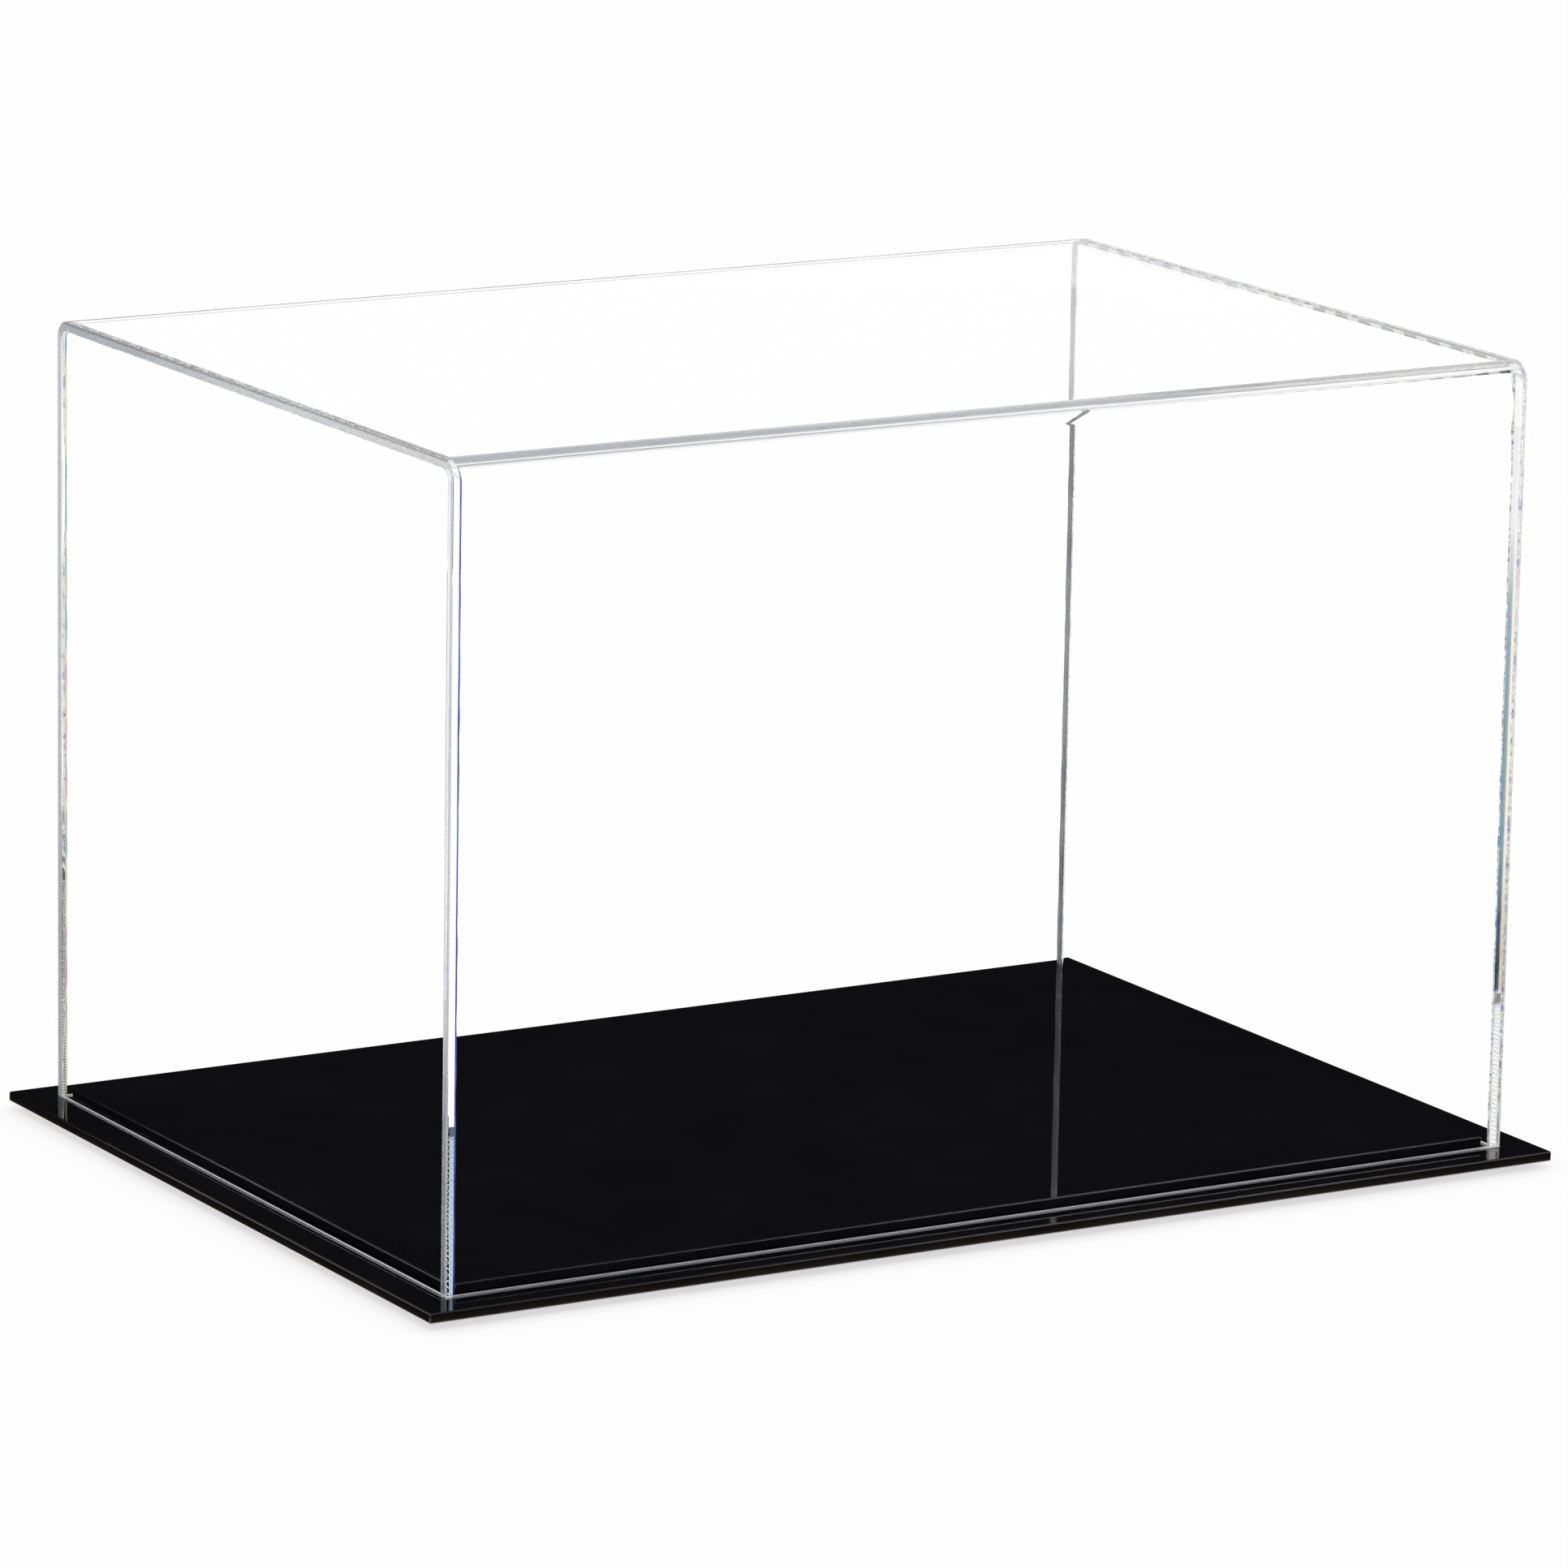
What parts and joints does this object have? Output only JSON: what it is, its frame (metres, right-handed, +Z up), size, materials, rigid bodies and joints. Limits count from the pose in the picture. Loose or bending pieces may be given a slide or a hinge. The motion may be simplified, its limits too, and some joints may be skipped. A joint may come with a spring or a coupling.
{
  "type": "display case",
  "caption": "Clear acrylic cover, bent from sheet with welded end panels, that lifts off a stepped gloss black acrylic base to show and protect sports boots or a ball.",
  "frame": {"origin": "under the middle of the case, on the surface that the feet stand on", "axes": "+X along the front, to the right seen from the front; +Y from front to back; +Z up"},
  "size_m": [0.378, 0.268, 0.2425],
  "materials": {
    "clear_acrylic": "clear polished acrylic sheet",
    "black_acrylic": "gloss black acrylic sheet",
    "clear_bumper": "clear soft polyurethane"
  },
  "bodies": {
    "base": {"base_plate": "black_acrylic", "riser_plate": "black_acrylic", "foot_front_left": "clear_bumper", "foot_front_right": "clear_bumper", "foot_back_left": "clear_bumper", "foot_back_right": "clear_bumper"},
    "cover": {"bent_cover_sheet": "clear_acrylic", "left_end_panel": "clear_acrylic", "right_end_panel": "clear_acrylic"}
  },
  "joints": [
    {"name": "cover_lift", "type": "slide", "parent": "base", "child": "cover", "axis": [0, 0, 1], "range_m": [0, 0.24]}
  ]
}
